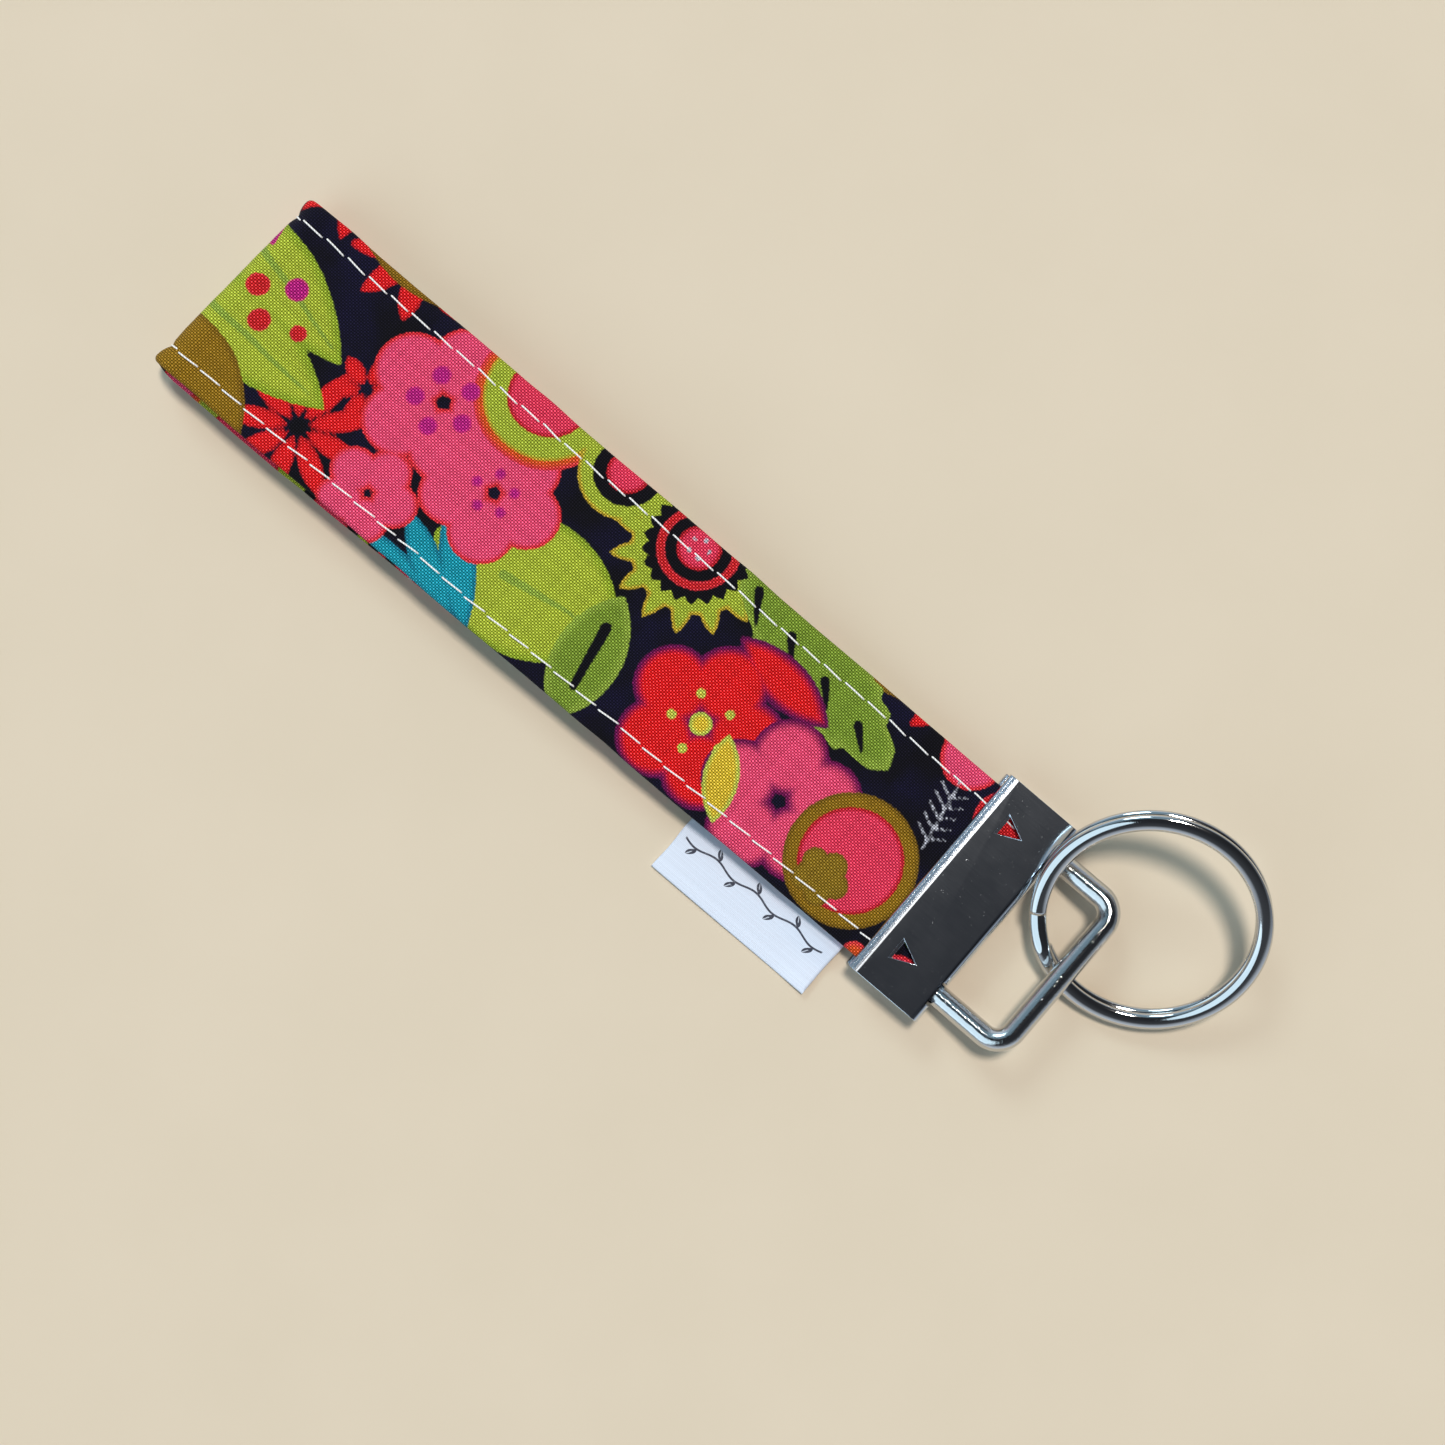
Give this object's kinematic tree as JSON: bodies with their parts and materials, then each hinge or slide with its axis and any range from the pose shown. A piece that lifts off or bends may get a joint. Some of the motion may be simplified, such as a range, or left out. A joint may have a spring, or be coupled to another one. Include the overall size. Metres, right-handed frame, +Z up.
{
  "type": "wristlet keychain",
  "caption": "Folded fabric wrist strap crimped in a sheet-metal clamp that holds a pivoting wire loop and a split ring for keys.",
  "frame": {"origin": "middle of the clamp's underside, on the surface that the keychain lies on", "axes": "+X from the strap towards the split ring, +Y away from the label, +Z up from the surface"},
  "size_m": [0.1575, 0.0504, 0.0152],
  "materials": {
    "printed_cotton": "printed plain-weave cotton",
    "interfacing": "matte fleece",
    "thread": "polyester sewing thread",
    "label_tape": "fine woven tape",
    "clamp_plating": "nickel plated, slightly pitted",
    "wire_plating": "polished nickel plated",
    "ring_plating": "polished nickel plated spring steel"
  },
  "bodies": {
    "strap": {"strap_cover": "printed_cotton", "strap_core": "interfacing", "topstitch_label_side": "thread", "topstitch_plain_side": "thread", "bobbin_label_side": "thread", "bobbin_plain_side": "thread", "clamp_shell": "clamp_plating"},
    "label": {"label_tab": "label_tape"},
    "loop": {"wire_loop": "wire_plating"},
    "ring": {"split_ring": "ring_plating"}
  },
  "joints": [
    {"name": "loop_pivot", "type": "hinge", "parent": "strap", "child": "loop", "pos_m": [0.0032, 0, 0.003], "axis": [0, -1, 0], "range_deg": [-30, 6]},
    {"name": "ring_swing", "type": "hinge", "parent": "loop", "child": "ring", "pos_m": [0.01584, 0, 0.00603], "axis": [0, 1, 0], "range_deg": [0, 115]},
    {"name": "label_flap", "type": "hinge", "parent": "strap", "child": "label", "pos_m": [-0.0202, -0.01505, 0.0012], "axis": [-1, 0, 0], "range_deg": [-75, 75], "stiffness_Nm_per_rad": 0.0002}
  ]
}
